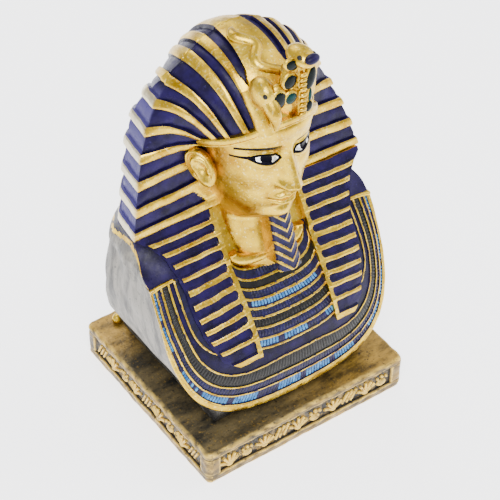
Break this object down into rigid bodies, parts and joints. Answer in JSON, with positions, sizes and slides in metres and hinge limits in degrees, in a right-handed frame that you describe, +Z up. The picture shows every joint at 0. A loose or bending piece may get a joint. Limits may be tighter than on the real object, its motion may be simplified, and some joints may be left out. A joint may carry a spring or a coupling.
{
  "type": "pharaoh bust",
  "caption": "Painted resin souvenir bust of a pharaoh in a striped headcloth and broad beaded collar, on a rectangular plinth with a carved band",
  "frame": {"origin": "middle of the plinth's underside", "axes": "+Z up, the face looks along -Y, +X is to the viewer's right when facing it"},
  "size_m": [0.0878, 0.0768, 0.147],
  "materials": {
    "bust_paint": "cast resin, hand-painted metallic gold and dark blue, glossy",
    "plinth_bronze": "cast resin, black ground brushed with antique bronze paint"
  },
  "bodies": {
    "root": {"bust": "bust_paint", "plinth": "plinth_bronze"}
  },
  "joints": []
}
